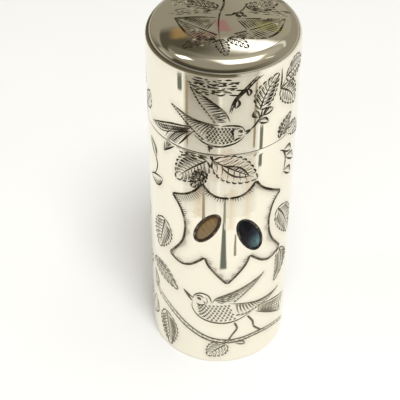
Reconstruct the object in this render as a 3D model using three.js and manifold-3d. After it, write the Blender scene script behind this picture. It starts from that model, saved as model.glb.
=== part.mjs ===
// A silver needle case: a round box for sewing needles, 22 mm across and 60 mm tall.
//
// The body is a tube closed below by a disc let into its end. A sleeve fixed inside the body
// stands above the body's rim, and the cap pushes down over it until the two rims meet.
// Two oval stones are set in narrow rims in the front of the body.
//
// Millimetres, +Z up, origin at the centre of the underside. The front of the case faces -Y.

import * as THREE from 'three';
import * as BufferGeometryUtils from 'three/addons/utils/BufferGeometryUtils.js';
import Module from 'manifold-3d';

// ---------------------------------------------------------------- driving dimensions

const OUTER_RADIUS = 11.0;
const WALL = 0.6;

const BODY_HEIGHT = 44.0;
const RIM_GAP = 0.1;
const RIM_CHAMFER = 0.08;
const FOOT_ROUND = 0.25;

const CAP_SHOULDER_HEIGHT = 57.1;
const SHOULDER_ROUND = 2.2;
const DOME_RISE = 0.5;

const SLEEVE_WALL = 0.5;
const SLEEVE_CLEARANCE = 0.15;
const SLEEVE_TOP = 51.0;

const BASE_THICKNESS = 0.9;
const BASE_CLEARANCE = 0.1;

const FIT_GAP = 0.12;
const STONE_RIM_WIDTH = 0.3;
const STONE_BACK = 10.5;
const STONE_GIRDLE = 10.85;
const STONE_CROWN = 11.2;

// Each opening for a stone: arc along the wall from the front line (positive towards +X),
// height of its centre, half length, half width, and lean of its long axis from upright.
const STONE_OPENINGS = {
  left: { arc: -3.2, height: 29.75, halfLength: 3.4, halfWidth: 1.55, lean: 29 },
  right: { arc: 3.4, height: 27.9, halfLength: 3.8, halfWidth: 1.75, lean: -24 },
};

const ROUND_SEGMENTS = 72;
const STONE_SEGMENTS = 40;
const BEND_STEPS = 5;
const DOME_STEPS = 3;
const MERGE_DISTANCE = 1e-4;

const INNER_RADIUS = OUTER_RADIUS - WALL;
const SLEEVE_OUTER_RADIUS = INNER_RADIUS - SLEEVE_CLEARANCE;
const SLEEVE_INNER_RADIUS = SLEEVE_OUTER_RADIUS - SLEEVE_WALL;
const SHOULDER_CENTRE = OUTER_RADIUS - SHOULDER_ROUND;
const DOME_SLOPE = 2 * Math.atan(DOME_RISE / SHOULDER_CENTRE);

// ---------------------------------------------------------------- materials

const silver = () => new THREE.MeshStandardMaterial({ color: 0xf0ebe0, roughness: 0.16, metalness: 1.0 });
const innerSilver = () => new THREE.MeshStandardMaterial({ color: 0xe6d9b8, roughness: 0.28, metalness: 1.0 });
const darkSilver = () => new THREE.MeshStandardMaterial({ color: 0x4a4640, roughness: 0.4, metalness: 1.0 });
const tanStone = () => new THREE.MeshStandardMaterial({ color: 0xa8845c, roughness: 0.25, metalness: 0.0 });
const darkStone = () => new THREE.MeshStandardMaterial({ color: 0x14202c, roughness: 0.15, metalness: 0.0 });

// ---------------------------------------------------------------- helpers

const wasm = await Module();
wasm.setup();

// Points of a quarter bend in a lathe profile, from angle `from` to angle `to` in degrees.
function bend(centreRadius, centreHeight, radius, from, to) {
  const points = [];
  for (let i = 0; i <= BEND_STEPS; i += 1) {
    const angle = THREE.MathUtils.degToRad(from + ((to - from) * i) / BEND_STEPS);
    points.push(new THREE.Vector2(
      centreRadius + radius * Math.cos(angle),
      centreHeight + radius * Math.sin(angle),
    ));
  }
  return points;
}

// A profile of [radius, height] points turned round the Z axis.
function turned(profile, segments = ROUND_SEGMENTS) {
  const geometry = new THREE.LatheGeometry(profile, segments);
  geometry.rotateX(Math.PI / 2);
  return geometry;
}

const point = (radius, height) => new THREE.Vector2(radius, height);

// A turned wall that closes on itself.
const turnedRing = (profile) => turned([...profile, profile[0].clone()]);

function toSolid(geometry) {
  const bare = geometry.clone();
  bare.deleteAttribute('normal');
  bare.deleteAttribute('uv');
  const merged = BufferGeometryUtils.mergeVertices(bare, MERGE_DISTANCE);
  return new wasm.Manifold(new wasm.Mesh({
    numProp: 3,
    vertProperties: new Float32Array(merged.attributes.position.array),
    triVerts: new Uint32Array(merged.index.array),
  }));
}

function toGeometry(solid) {
  const mesh = solid.getMesh();
  const geometry = new THREE.BufferGeometry();
  geometry.setAttribute('position', new THREE.BufferAttribute(new Float32Array(mesh.vertProperties), 3));
  geometry.setIndex(new THREE.BufferAttribute(new Uint32Array(mesh.triVerts), 1));
  geometry.computeVertexNormals();
  return geometry;
}

function named(name, geometry, material) {
  const mesh = new THREE.Mesh(geometry, material);
  mesh.name = name;
  return mesh;
}

// ---------------------------------------------------------------- body, base, sleeve and cap

function bodyTube() {
  const wall = toSolid(turnedRing([
    point(INNER_RADIUS, 0),
    ...bend(OUTER_RADIUS - FOOT_ROUND, FOOT_ROUND, FOOT_ROUND, -90, 0),
    point(OUTER_RADIUS, BODY_HEIGHT - RIM_CHAMFER),
    point(OUTER_RADIUS - RIM_CHAMFER, BODY_HEIGHT),
    point(INNER_RADIUS, BODY_HEIGHT),
  ]));
  const pierced = Object.values(STONE_OPENINGS).reduce(
    (solid, opening) => solid.subtract(ovalPlug(opening, 0)),
    wall,
  );
  return named('body_tube', toGeometry(pierced), silver());
}

function baseDisc() {
  const radius = INNER_RADIUS - BASE_CLEARANCE;
  const profile = [point(0, 0), point(radius, 0), point(radius, BASE_THICKNESS), point(0, BASE_THICKNESS)];
  return named('base_disc', turned(profile), silver());
}

function innerSleeve() {
  const profile = [
    point(SLEEVE_INNER_RADIUS, BASE_THICKNESS + BASE_CLEARANCE),
    point(SLEEVE_OUTER_RADIUS, BASE_THICKNESS + BASE_CLEARANCE),
    point(SLEEVE_OUTER_RADIUS, SLEEVE_TOP - SLEEVE_WALL / 2),
    point(SLEEVE_OUTER_RADIUS - SLEEVE_WALL / 4, SLEEVE_TOP),
    point(SLEEVE_INNER_RADIUS + SLEEVE_WALL / 4, SLEEVE_TOP),
    point(SLEEVE_INNER_RADIUS, SLEEVE_TOP - SLEEVE_WALL / 2),
  ];
  return named('inner_sleeve', turnedRing(profile), innerSilver());
}

// The dome over the top, from where it leaves the shoulder to the axis: an arc of a great circle
// that is tangent to the shoulder's round, so that the two run into each other without an edge.
function domePoints(edge) {
  const sphereRadius = edge.x / Math.sin(DOME_SLOPE);
  const centreHeight = edge.y - sphereRadius * Math.cos(DOME_SLOPE);
  const points = [];
  for (let i = 1; i <= DOME_STEPS; i += 1) {
    const slope = DOME_SLOPE * (1 - i / DOME_STEPS);
    points.push(point(sphereRadius * Math.sin(slope), centreHeight + sphereRadius * Math.cos(slope)));
  }
  return points;
}

// One side of the cap's skin, from the top of its straight wall to the axis.
function capRoof(shoulderRadius) {
  const endAngle = 90 - THREE.MathUtils.radToDeg(DOME_SLOPE);
  const shoulder = bend(SHOULDER_CENTRE, CAP_SHOULDER_HEIGHT, shoulderRadius, 0, endAngle);
  return [...shoulder, ...domePoints(shoulder.at(-1))];
}

function capShell() {
  const mouth = BODY_HEIGHT + RIM_GAP;
  const outside = [
    point(OUTER_RADIUS - RIM_CHAMFER, mouth),
    point(OUTER_RADIUS, mouth + RIM_CHAMFER),
    ...capRoof(SHOULDER_ROUND),
  ];
  const inside = [point(INNER_RADIUS, mouth), ...capRoof(SHOULDER_ROUND - WALL)];
  return named('cap_shell', turned([...inside.reverse(), ...outside]), silver());
}

// ---------------------------------------------------------------- stones and their rims

// Stands an oval that was turned round Z on the wall at an opening, facing outwards.
function placeOnWall(geometry, opening) {
  const around = opening.arc / OUTER_RADIUS;
  geometry.rotateZ(THREE.MathUtils.degToRad(90 - opening.lean));
  geometry.rotateX(Math.PI / 2);
  geometry.rotateZ(around);
  geometry.translate(0, 0, opening.height);
  return geometry;
}

// An oval solid whose axis is the wall's normal: profile heights are distances from the case's axis.
function oval(profile, opening, inset) {
  const geometry = turned(profile, STONE_SEGMENTS);
  geometry.scale(opening.halfLength - inset, opening.halfWidth - inset, 1);
  return placeOnWall(geometry, opening);
}

// A straight oval plug through the wall, smaller than the opening by `inset` all round.
function ovalPlug(opening, inset) {
  const near = INNER_RADIUS - 2 * WALL;
  const far = OUTER_RADIUS + WALL;
  return toSolid(oval([point(0, near), point(1, near), point(1, far), point(0, far)], opening, inset));
}

// The rim follows the outside of the case, and its back is clear of the sleeve.
function stoneRim(side) {
  const opening = STONE_OPENINGS[side];
  const shell = toSolid(turnedRing([
    point(INNER_RADIUS, 0),
    point(OUTER_RADIUS, 0),
    point(OUTER_RADIUS, BODY_HEIGHT),
    point(INNER_RADIUS, BODY_HEIGHT),
  ]));
  const ring = ovalPlug(opening, FIT_GAP).subtract(ovalPlug(opening, FIT_GAP + STONE_RIM_WIDTH));
  return named(`stone_rim_${side}`, toGeometry(ring.intersect(shell)), darkSilver());
}

// A low domed stone with a flat back.
function stone(side, material) {
  const crown = STONE_CROWN - STONE_GIRDLE;
  const profile = [
    point(0, STONE_BACK),
    point(1, STONE_BACK),
    point(1, STONE_GIRDLE),
    point(0.85, STONE_GIRDLE + 0.5 * crown),
    point(0.5, STONE_GIRDLE + 0.87 * crown),
    point(0, STONE_CROWN),
  ];
  const inset = 2 * FIT_GAP + STONE_RIM_WIDTH;
  return named(`stone_${side}`, oval(profile, STONE_OPENINGS[side], inset), material);
}

// ---------------------------------------------------------------- the needle case

const needleCase = new THREE.Group();
needleCase.add(
  bodyTube(),
  baseDisc(),
  innerSleeve(),
  capShell(),
  stoneRim('left'),
  stone('left', tanStone()),
  stoneRim('right'),
  stone('right', darkStone()),
);

export default needleCase;
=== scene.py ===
"""The looks of a silver needle case: engraved body and cap, sleeve, base, two set stones, floor and light.

The engraving is drawn flat, as cuts in millimetres, and triangulated together with the skin it is cut
into, so each line is a real groove in the metal. The flat sheet is then bent round the case.
"""

import math

import bmesh
import bpy
import numpy as np
from mathutils import Matrix, Vector
from mathutils.geometry import delaunay_2d_cdt
from mathutils.kdtree import KDTree


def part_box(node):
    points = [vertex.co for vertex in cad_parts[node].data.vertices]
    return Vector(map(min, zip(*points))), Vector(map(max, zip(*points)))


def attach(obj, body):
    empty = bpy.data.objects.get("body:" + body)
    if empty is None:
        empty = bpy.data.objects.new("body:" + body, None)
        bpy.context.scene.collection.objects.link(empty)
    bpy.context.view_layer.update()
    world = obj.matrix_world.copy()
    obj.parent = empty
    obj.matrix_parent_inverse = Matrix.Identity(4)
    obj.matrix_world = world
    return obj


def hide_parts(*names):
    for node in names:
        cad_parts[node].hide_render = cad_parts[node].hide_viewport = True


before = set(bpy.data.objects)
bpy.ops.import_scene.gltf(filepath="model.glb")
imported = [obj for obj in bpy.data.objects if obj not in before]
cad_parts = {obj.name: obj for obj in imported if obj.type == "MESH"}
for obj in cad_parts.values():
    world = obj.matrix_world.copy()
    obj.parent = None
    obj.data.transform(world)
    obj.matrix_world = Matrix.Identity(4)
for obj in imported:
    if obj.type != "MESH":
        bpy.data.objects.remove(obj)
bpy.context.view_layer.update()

# ---------------------------------------------------------------- sizes, in millimetres, from the frame

MM = 0.001


def node_box(node):
    """The lowest and highest corner of a CAD node, in millimetres."""
    low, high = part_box(node)
    return np.array(low) / MM, np.array(high) / MM


_, BODY_HIGH = node_box("body_tube")
CAP_LOW, CAP_HIGH = node_box("cap_shell")
SLEEVE_LOW, SLEEVE_HIGH = node_box("inner_sleeve")
_, BASE_HIGH = node_box("base_disc")

RADIUS = BODY_HIGH[0]
WALL = 0.6
INNER_RADIUS = RADIUS - WALL
BODY_TOP = BODY_HIGH[2]
CAP_MOUTH = CAP_LOW[2]
CAP_TOP = CAP_HIGH[2]
SLEEVE_RADIUS = SLEEVE_HIGH[0]
SLEEVE_WALL = 0.5

FOOT_ROUND = 0.25
RIM_ROUND = 0.03
SHOULDER_ROUND = 2.2
SHOULDER_CENTRE = RADIUS - SHOULDER_ROUND
DOME_RISE = 0.5
DOME_SLOPE = 2 * math.atan(DOME_RISE / SHOULDER_CENTRE)
SHOULDER_HEIGHT = CAP_TOP - DOME_RISE - SHOULDER_ROUND

# The two openings for stones: arc from the front line, height, half length, half width, lean in degrees.
STONE_OPENINGS = {
    "left": (-3.2, 29.75, 3.4, 1.55, 29.0),
    "right": (3.4, 27.9, 3.8, 1.75, -24.0),
}
FIT_GAP = 0.12
STONE_RIM_WIDTH = 0.3
STONE_GAP = 0.02
STONE_BACK = 10.5
STONE_GIRDLE = 10.85
STONE_CROWN = 11.2

ROUND_STEPS = 180
SHEET_STEP = 1.0
OVAL_STEPS = 96
SHARP_BEND = math.radians(35)
SHARP_EDGE = math.radians(50)
CROSSING_DEPTH = 0.04
GROOVE_SLOPE = 0.34
EDGE_MARGIN = 0.12
ROOF_STEP = 0.3
JOIN_DISTANCE = 0.0008
RIM_BURNISH = 0.02
OUTER_SKIN = INNER_RADIUS + 0.2
BLOOM_REACH = 0.9
BLOOM_NEIGHBOURS = 12
TOP_TURN = -5.2
STRIP_LIFT = 1.2

# The stage: metres.
LIGHT_TARGET = (0, 0, 0.01)
LOWEST_SKY = 0.02
GROUND_RADII = 0.045, 1.2
GROUND_LIFT = 0.0006
GROUND_STEPS = 72
FLOOR_SIZE = 3.0

# The camera: metres and radians, about the case's axis.
CAMERA_LENS = 105.3
VIEW_TURN = 1.0 / 11.0
VIEW_PITCH = 0.7282
VIEW_ROLL = 0.0041
VIEW_SIDE = -0.00323
VIEW_DISTANCE = 0.13711
VIEW_HEIGHT = 0.14808

PLAIN, ENGRAVED = 0, 1

# ---------------------------------------------------------------- engraving, drawn flat
#
# Engraving is drawn on flat sheets in millimetres. On the wall's sheet a point is (arc, height): the
# arc runs from the front line of the case, positive towards +X. On the top's sheet it is (x, y) from
# the axis, along the surface. A cut is (points, width, taper).

LINE = 0.33
FINE = 0.19
HATCH = 0.22
STEM = 0.40
FEATHER_LINE = 0.26
FEATHER_SIZE = 0.4
LAST_ROOT = 0.82
CURVE_STEP = 0.32
BOTH_ENDS = "both ends"
TAIL = "tail"
EVEN = "even"


def curve(points):
    """Points about CURVE_STEP apart on a smooth curve through the given ones."""
    p = np.array(points, float)
    p = np.vstack([2 * p[0] - p[1], p, 2 * p[-1] - p[-2]])
    out = []
    for a, b, c, d in zip(p[:-3], p[1:-2], p[2:-1], p[3:]):
        count = max(2, int(np.ceil(np.hypot(*(c - b)) / CURVE_STEP)))
        t = np.arange(count)[:, None] / count
        square, cube = 2 * a - 5 * b + 4 * c - d, 3 * b - a - 3 * c + d
        out.append(0.5 * (2 * b + (c - a) * t + square * t**2 + cube * t**3))
    out.append(p[-2:-1])
    return np.vstack(out)


def cut(points, width=LINE, taper=BOTH_ENDS):
    return curve(points), width, taper


def drawn(*lines, width=LINE, taper=BOTH_ENDS):
    """A cut along each of the given lines."""
    return [cut(points, width, taper) for points in lines]


def fine(points):
    """A thin cut that is widest at its start."""
    return cut(points, FINE, TAIL)


def placed(cuts, shift, turn=0.0, size=1.0, mirror=False):
    """The same cuts turned (degrees), sized, mirrored left to right and moved."""
    c, s = np.cos(np.radians(turn)), np.sin(np.radians(turn))
    matrix = np.array([[c, -s], [s, c]]) @ np.diag([-size if mirror else size, size])
    return [(points @ matrix.T + np.array(shift), width * size**0.5, taper)
            for points, width, taper in cuts]


def along(points, share):
    """The point at a share of the way along a curve."""
    p = curve(points)
    run = np.concatenate([[0], np.cumsum(np.hypot(*np.diff(p, axis=0).T))])
    where = share * run[-1]
    return np.array([np.interp(where, run, p[:, 0]), np.interp(where, run, p[:, 1])])


def leaf_axes(base, tip):
    """A leaf's base, the way from there to its tip, its length and the unit direction across it."""
    base, tip = np.array(base, float), np.array(tip, float)
    axis = tip - base
    length = np.hypot(*axis)
    return base, axis, length, np.array([-axis[1], axis[0]]) / length


def leaf(base, tip, width, bow=0.08, veins=5, hatch=(1, 1), teeth=6):
    """A toothed leaf with a midrib, veins and hatching, which can be closer on one half."""
    base, axis, length, across = leaf_axes(base, tip)

    def at(t, s):
        half = 0.5 * width * np.sin(np.pi * t**0.78) ** 0.8 if 0 < t < 1 else 0.0
        return base + axis * t + across * (bow * length * np.sin(np.pi * t) + s * half)

    cuts = [cut([at(t, 0) for t in (0.0, 0.3, 0.6, 0.93)], LINE, TAIL)]
    for side, rows in ((1, hatch[0]), (-1, hatch[1])):
        for k in range(teeth):
            t0, t1 = k / teeth, (k + 1) / teeth
            cuts.append(cut([at(t0, 0.9 * side), at(0.5 * (t0 + t1), 1.08 * side), at(t1, 1.02 * side)]))
        for k in range(veins):
            t = 0.08 + 0.74 * k / veins
            cuts.append(fine([at(t, 0), at(t + 0.07, 0.42 * side), at(t + 0.13, 0.86 * side)]))
            for j in range(rows):
                s = t + 0.74 * (j + 1) / (veins * (rows + 1))
                cuts.append(fine([at(s + ahead, out * side)
                                  for ahead, out in ((0.13, 0.92), (0.08, 0.6), (0.03, 0.24))]))
    return cuts


def blade(base, tip, width, bow=0.12, hatch=5):
    """A small plain leaf: two sides, and short hatching on one half."""
    base, axis, length, across = leaf_axes(base, tip)

    def at(t, s):
        return base + axis * t + across * (bow * length + 0.5 * s * width) * np.sin(np.pi * t)

    cuts = [cut([at(t, side) for t in (0, 0.25, 0.55, 0.8, 1)]) for side in (-1, 1)]
    for k in range(hatch):
        t = 0.15 + 0.65 * k / hatch
        cuts.append(fine([at(t + 0.1, 0.85), at(t + 0.04, 0.35), at(t, -0.1)]))
    return cuts


def berries(places, radius):
    """Small round marks, each an arc over a short level cut."""
    cuts = []
    turns = np.radians((200, 130, 60, -10, -80))
    for x, y in places:
        ring = [(x + radius * np.cos(turn), y + radius * np.sin(turn)) for turn in turns]
        cuts += drawn(ring, [(x - radius * 0.6, y), (x, y), (x + radius * 0.6, y)])
    return cuts


def barbs(leading, trailing, count, start=0.1):
    """Long feathers from a wing's leading edge to its trailing edge, with rounded ends."""
    cuts = [cut(leading)]
    ends = []

    def root_at(share):
        return along(leading, start + (LAST_ROOT - start) * share)

    for k in range(count + 1):
        share = k / count
        root = root_at(share)
        end = along(trailing, share**0.9)
        middle = 0.5 * (root + end) + 0.06 * (end - root)[::-1] * np.array([1, -1])
        ends.append(end)
        if 0 < k < count:
            cuts.append(fine([root, middle, end]))
        if k < count:
            near = root_at(share + 0.5 / count)
            far = 0.25 * near + 0.75 * along(trailing, (share + 0.5 / count) ** 0.9)
            cuts.append(fine([near, 0.5 * (near + far), far]))
    for a, b in zip(ends[:-1], ends[1:]):
        out = 0.5 * (a + b) + 0.2 * (b - a)[::-1] * np.array([-1, 1])
        cuts.append(cut([a, out, b]))
    return cuts


def hatched(first, second, count, width=FINE, lean=0.03):
    """Close hatching across the space between two curves, with its far ends a share `lean` further along."""
    cuts = []
    for k in range(count):
        share = (k + 0.5) / count
        near, far = along(first, share), along(second, min(1.0, share + lean))
        cuts.append(cut([0.92 * near + 0.08 * far, 0.5 * (near + far), 0.08 * near + 0.92 * far], width))
    return cuts


def scales(first, last, rows, columns):
    """Small curved body feathers in staggered rows between two curves, `first` above `last`."""
    cuts = []
    for row in range(rows):
        across = (row + 0.5) / rows
        for column in range(columns):
            share = (column + 0.3 + 0.5 * (row % 2)) / columns
            if share > 0.97:
                continue
            here, ahead = [(1 - across) * along(first, s) + across * along(last, s)
                           for s in (share, share + 0.02)]
            run = (ahead - here) / np.hypot(*(ahead - here)) * FEATHER_SIZE
            side = np.array([-run[1], run[0]])
            cuts.append(cut([here + 0.6 * side, here + run, here - 0.6 * side], FEATHER_LINE))
    return cuts


def flying_bird():
    """A swallow-like bird flying to the right with a twig in its beak, about its shoulder."""
    crown = [(3.0, -1.4), (2.6, -0.6), (1.7, -0.2), (0.6, -0.1), (-0.4, -0.2)]
    belly = [(3.0, -2.0), (2.3, -2.8), (1.2, -3.4), (-0.6, -3.8), (-2.6, -3.4), (-4.4, -2.1)]
    cuts = drawn(crown, belly)
    cuts += drawn([(2.9, -1.4), (3.3, -1.3), (3.9, -1.1)], [(3.0, -1.9), (3.4, -1.6), (3.9, -1.1)])
    cuts += berries([(2.3, -1.3)], 0.24)
    cuts += drawn([(1.7, -0.4), (1.2, -1.3), (1.5, -2.5)], [(2.5, -2.3), (1.9, -2.5), (1.3, -2.9)])
    cuts += drawn([(1.9, -1.9), (2.3, -2.0), (2.7, -1.8)], [(1.6, -0.9), (1.9, -0.7), (2.3, -0.7)],
                  width=FINE)
    near_lead = [(0.9, 0.4), (0.1, 2.2), (-1.9, 4.0), (-4.7, 5.9)]
    near_trail = [(-1.1, 0.3), (-2.1, 1.8), (-3.5, 3.7), (-4.7, 5.9)]
    far_lead = [(-0.3, -0.1), (-2.2, 0.1), (-4.5, 0.5), (-7.8, 1.8)]
    far_trail = [(-2.7, -2.8), (-4.2, -1.5), (-6.0, 0.2), (-7.8, 1.8)]
    cuts += barbs(near_lead, near_trail, 12) + barbs(far_lead, far_trail, 15)
    cuts += hatched([(0.6, 0.5), (-0.6, 2.2)], [(-0.9, 0.3), (-1.9, 1.6)], 6)
    cuts += scales([(-2.6, -0.4), (-0.4, -0.4), (1.3, -0.5)], [(-2.8, -2.8), (-0.6, -3.4), (1.4, -3.0)], 6, 8)
    upper = [(-4.2, -0.8), (-5.6, -1.2), (-8.3, -1.9), (-12.5, -3.9)]
    crotch = [(-5.6, -2.3), (-7.3, -2.9), (-10.0, -4.1), (-12.5, -3.9)]
    lower = [(-4.2, -1.6), (-5.2, -2.8), (-6.8, -5.0), (-9.6, -7.6)]
    inner = [(-6.0, -2.1), (-7.9, -2.9), (-9.1, -4.6), (-9.6, -7.6)]
    for outside, inside in ((upper, crotch), (lower, inner)):
        cuts += [cut(outside), cut(inside, FINE)] + hatched(outside, inside, 20, HATCH)
        for share in (0.35, 0.68):
            cuts.append(cut([(1 - share) * along(outside, t) + share * along(inside, t)
                             for t in (0.04, 0.3, 0.6, 0.8)], FINE))
    return cuts


def perched_bird():
    """A bird on a branch, looking up to the left with its wings half raised, about its breast."""
    crown = [(-3.4, 1.5), (-3.0, 2.6), (-2.0, 3.3), (-0.9, 3.0), (-0.4, 2.1), (-0.3, 1.2)]
    belly = [(-3.4, 1.0), (-3.4, -0.4), (-2.5, -1.9), (-0.9, -2.8), (1.3, -3.2), (3.2, -3.0), (4.8, -2.4),
             (6.5, -1.5)]
    cuts = drawn(crown, belly)
    cuts += drawn([(-3.2, 1.8), (-4.0, 2.3), (-5.0, 3.1)], [(-3.3, 1.0), (-4.0, 1.8), (-5.0, 3.1)],
                  width=STEM)
    cuts += berries([(-2.3, 1.9)], 0.28)
    cuts += drawn([(-2.9, 2.3), (-2.2, 2.7), (-1.4, 2.3)], [(-2.8, 0.9), (-2.0, 0.6), (-1.2, 1.0)])
    cuts += drawn([(-1.3, 2.6), (-0.9, 1.8), (-1.2, 0.8)], [(-1.7, 1.6), (-1.3, 1.4), (-1.5, 0.9)],
                  width=FINE)
    raised_lead = [(-0.2, 1.2), (0.5, 2.5), (2.3, 3.4), (4.6, 4.4), (8.4, 6.2)]
    raised_trail = [(3.3, 1.4), (4.1, 2.1), (5.4, 3.3), (6.9, 4.6), (8.4, 6.2)]
    folded_lead = [(2.4, 1.3), (4.8, 0.8), (7.3, 0.3), (9.6, 0.2), (12.2, 0.3)]
    folded_trail = [(3.6, -1.7), (5.2, -1.8), (6.9, -1.3), (8.9, -0.8), (12.2, 0.3)]
    cuts += barbs(raised_lead, raised_trail, 14, 0.06) + barbs(folded_lead, folded_trail, 15)
    cuts += hatched([(0.2, 1.6), (1.4, 2.9), (3.4, 3.8)], [(1.6, 1.2), (3.0, 1.8), (4.3, 2.9)], 9)
    cuts += scales([(-2.8, 0.4), (-0.6, 0.9), (2.6, 1.0)], [(-2.5, -1.4), (0.0, -2.8), (3.8, -2.6)], 7, 9)
    over = [(7.4, -0.8), (10.8, -1.6), (14.6, -3.1)]
    under = [(7.0, -1.9), (10.2, -4.2), (13.5, -6.6)]
    end = [(14.6, -3.1), (12.9, -4.4), (13.5, -6.6)]
    cuts += drawn(over, under, end)
    for share in np.linspace(0.12, 0.88, 7):
        start = (1 - share) * along(over, 0.04) + share * along(under, 0.04)
        stop = along(end, share)
        cuts.append(cut([start, 0.5 * (start + stop), stop], HATCH))
    cuts += hatched(over, under, 9)
    for leg in ([(3.4, -3.2), (3.9, -4.7), (3.2, -6.0), (2.5, -7.4)],
                [(5.6, -2.3), (6.6, -4.0), (6.9, -5.4), (8.2, -7.0)]):
        x, y = leg[-1]
        cuts += [cut(leg, STEM, EVEN), cut([(x - 0.8, y - 0.2), (x, y), (x + 0.9, y - 0.3)])]
    return cuts


def strokes(low, high, rows, width=0.28):
    """A patch of loose, level strokes, longest in its middle."""
    cuts = []
    (left, bottom), (right, top) = low, high
    for row in range(rows):
        height = bottom + (top - bottom) * (row + 0.5) / rows
        reach = 1.0 - 0.3 * abs(row + 0.5 - rows / 2) / (rows / 2)
        start = 0.5 * (left + right) - 0.5 * reach * (right - left) + 0.4 * math.sin(4.1 * row)
        end = start + reach * (right - left)
        while start < end - 0.5:
            length = 1.2 + 0.7 * math.sin(7.3 * start + 2.9 * row)
            sag = 0.16 * math.sin(3.7 * start + row)
            slope = 0.16 * math.sin(2.3 * start + 1.7 * row)
            cuts.append(cut([(start, height), (start + length / 2, height + sag),
                             (start + length, height + slope)], width))
            start += length + 0.16 + 0.14 * math.sin(5.1 * start)
    return cuts


def shield():
    """The empty shield on the front: three scallops above, hollow sides, two scallops and a point below."""
    corner, waist, foot, cusp, notch = 8.95, 6.85, 9.7, 4.0, 3.5
    cuts = []
    for side, corner_height in ((1, 34.0), (-1, 34.6)):
        half = [
            [(0.0, 35.9), (1.6, 36.1), (2.9, 36.9), (cusp, 38.4)],
            [(cusp, 38.4), (5.1, 36.8), (6.6, 35.6), (corner, corner_height)],
            [(corner, corner_height), (7.6, 32.8), (waist, 30.8), (waist - 0.15, 28.4), (7.4, 25.5),
             (foot, 22.1)],
            [(foot, 22.1), (8.5, 21.4), (7.2, 21.1), (5.8, 21.6), (4.5, 22.7), (notch, 23.7)],
            [(notch, 23.7), (2.9, 22.0), (1.5, 20.0), (0.0, 18.2)],
        ]
        for part, points in enumerate(half):
            cuts.append(cut([(side * x, z) for x, z in points], LINE * 1.25, EVEN))
            length = np.hypot(*np.diff(curve(points), axis=0).T).sum()
            for share in np.arange(0.04, 0.97, 0.34 / length):
                x, z = along(points, share)
                dx, dz = along(points, share + 0.01) - (x, z)
                out = np.array([dz, -dx]) / np.hypot(dx, dz)
                start = np.array([x, z]) + 0.12 * out
                reach = 1.4 if side < 0 and part == 1 else 0.6 + 0.25 * math.sin(2.2 * x + 3.1 * z)
                tick = [start, start + 0.5 * reach * out, start + reach * out]
                cuts.append(fine([(side * a, b) for a, b in tick]))
    return cuts


def spray(stem, leaves, size):
    """A stem with leaves by turns on its left and right, and a leaf at its end."""
    cuts = [cut(stem, STEM, TAIL)]
    for k in range(leaves):
        share = 0.12 + 0.8 * k / leaves
        here = along(stem, share)
        run = along(stem, share + 0.03) - here
        side = 1 if k % 2 else -1
        angle = np.arctan2(run[1], run[0]) + side * np.radians(58)
        length = size * (1 - 0.3 * share)
        tip = here + length * np.array([np.cos(angle), np.sin(angle)])
        base = here + 0.14 * (tip - here)
        cuts.append(cut([here, base, 0.8 * base + 0.2 * tip], STEM * 0.8, TAIL))
        cuts += leaf(base, tip, 0.52 * length, bow=0.05 * side, veins=4, hatch=(1, 0), teeth=5)
    end = along(stem, 1.0)
    run = end - along(stem, 0.9)
    tip = end + 0.7 * size * run / np.hypot(*run)
    return cuts + leaf(along(stem, 0.98), tip, 0.36 * size, veins=4, hatch=(1, 0), teeth=5)


def branch(points, thick):
    """A twig with two sides, short bark marks and cut ends."""
    p = curve(points)
    run = np.gradient(p, axis=0)
    side = np.stack([-run[:, 1], run[:, 0]], 1) / np.hypot(*run.T)[:, None]
    half = 0.5 * thick * np.linspace(1.0, 0.55, len(p))[:, None]
    upper, lower = p + side * half, p - side * half
    cuts = [cut(upper[::3]), cut(lower[::3])]
    for k in range(2, len(p) - 5, 3):
        near, far = (upper, lower) if k % 2 else (lower, upper)
        cuts.append(fine([near[k], p[k + 1], 0.4 * p[k + 3] + 0.6 * far[k + 3]]))
        if k % 4 == 0:
            cuts.append(cut([near[k], near[k + 1], 2 * near[k + 1] - p[k + 1]], LINE, TAIL))
    return cuts


def wall_cuts():
    """Everything engraved on the front of the closed case; it runs on over the joint."""
    return shield() + cap_front_cuts() + hanging_leaves() + leaves_beside_shield() + branch_cuts()


def cap_front_cuts():
    """The flying bird, the stem above it and the leaves to its right."""
    cuts = placed(flying_bird(), (-1.0, 49.3))
    cuts += branch([(4.5, 57.1), (3.3, 56.5), (2.1, 55.3), (0.8, 53.9), (0.1, 52.4), (-0.3, 50.6)], 0.42)
    cuts += blade((2.1, 55.2), (2.4, 53.9), 0.6, hatch=4) + blade((0.7, 53.7), (0.5, 52.1), 0.7)
    cuts += strokes((-6.1, 54.3), (1.2, 57.0), 8)

    # The twig in the bird's beak, and the big leaf above it.
    cuts += [cut([(2.6, 47.9), (3.4, 48.7), (4.2, 49.8), (4.5, 51.2)], STEM)]
    cuts += [cut([(4.2, 49.7), (5.0, 50.3), (5.9, 51.2)], LINE, TAIL)]
    cuts += blade((4.0, 49.8), (3.3, 51.3), 0.9) + blade((4.6, 50.0), (6.4, 50.6), 1.0)
    cuts += blade((3.9, 49.2), (5.6, 48.5), 0.9)
    cuts += leaf((4.1, 51.1), (7.0, 56.2), 3.3, veins=7, hatch=(2, 4), teeth=8)

    # Leaves at the right.
    cuts += leaf((7.7, 53.2), (11.6, 48.8), 3.2, veins=6, hatch=(3, 2), teeth=7)
    cuts += leaf((8.6, 54.6), (14.0, 54.6), 3.4, bow=0.1, veins=6, hatch=(2, 3), teeth=7)
    cuts += [cut([(7.6, 57.0), (7.7, 55.2), (7.7, 53.2), (8.6, 54.6)], STEM)]
    cuts += leaf((8.0, 44.3), (10.6, 47.6), 2.2, veins=6, hatch=(3, 2), teeth=7)
    cuts += leaf((9.4, 45.2), (14.2, 41.8), 2.2, hatch=(2, 2))
    return cuts


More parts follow.
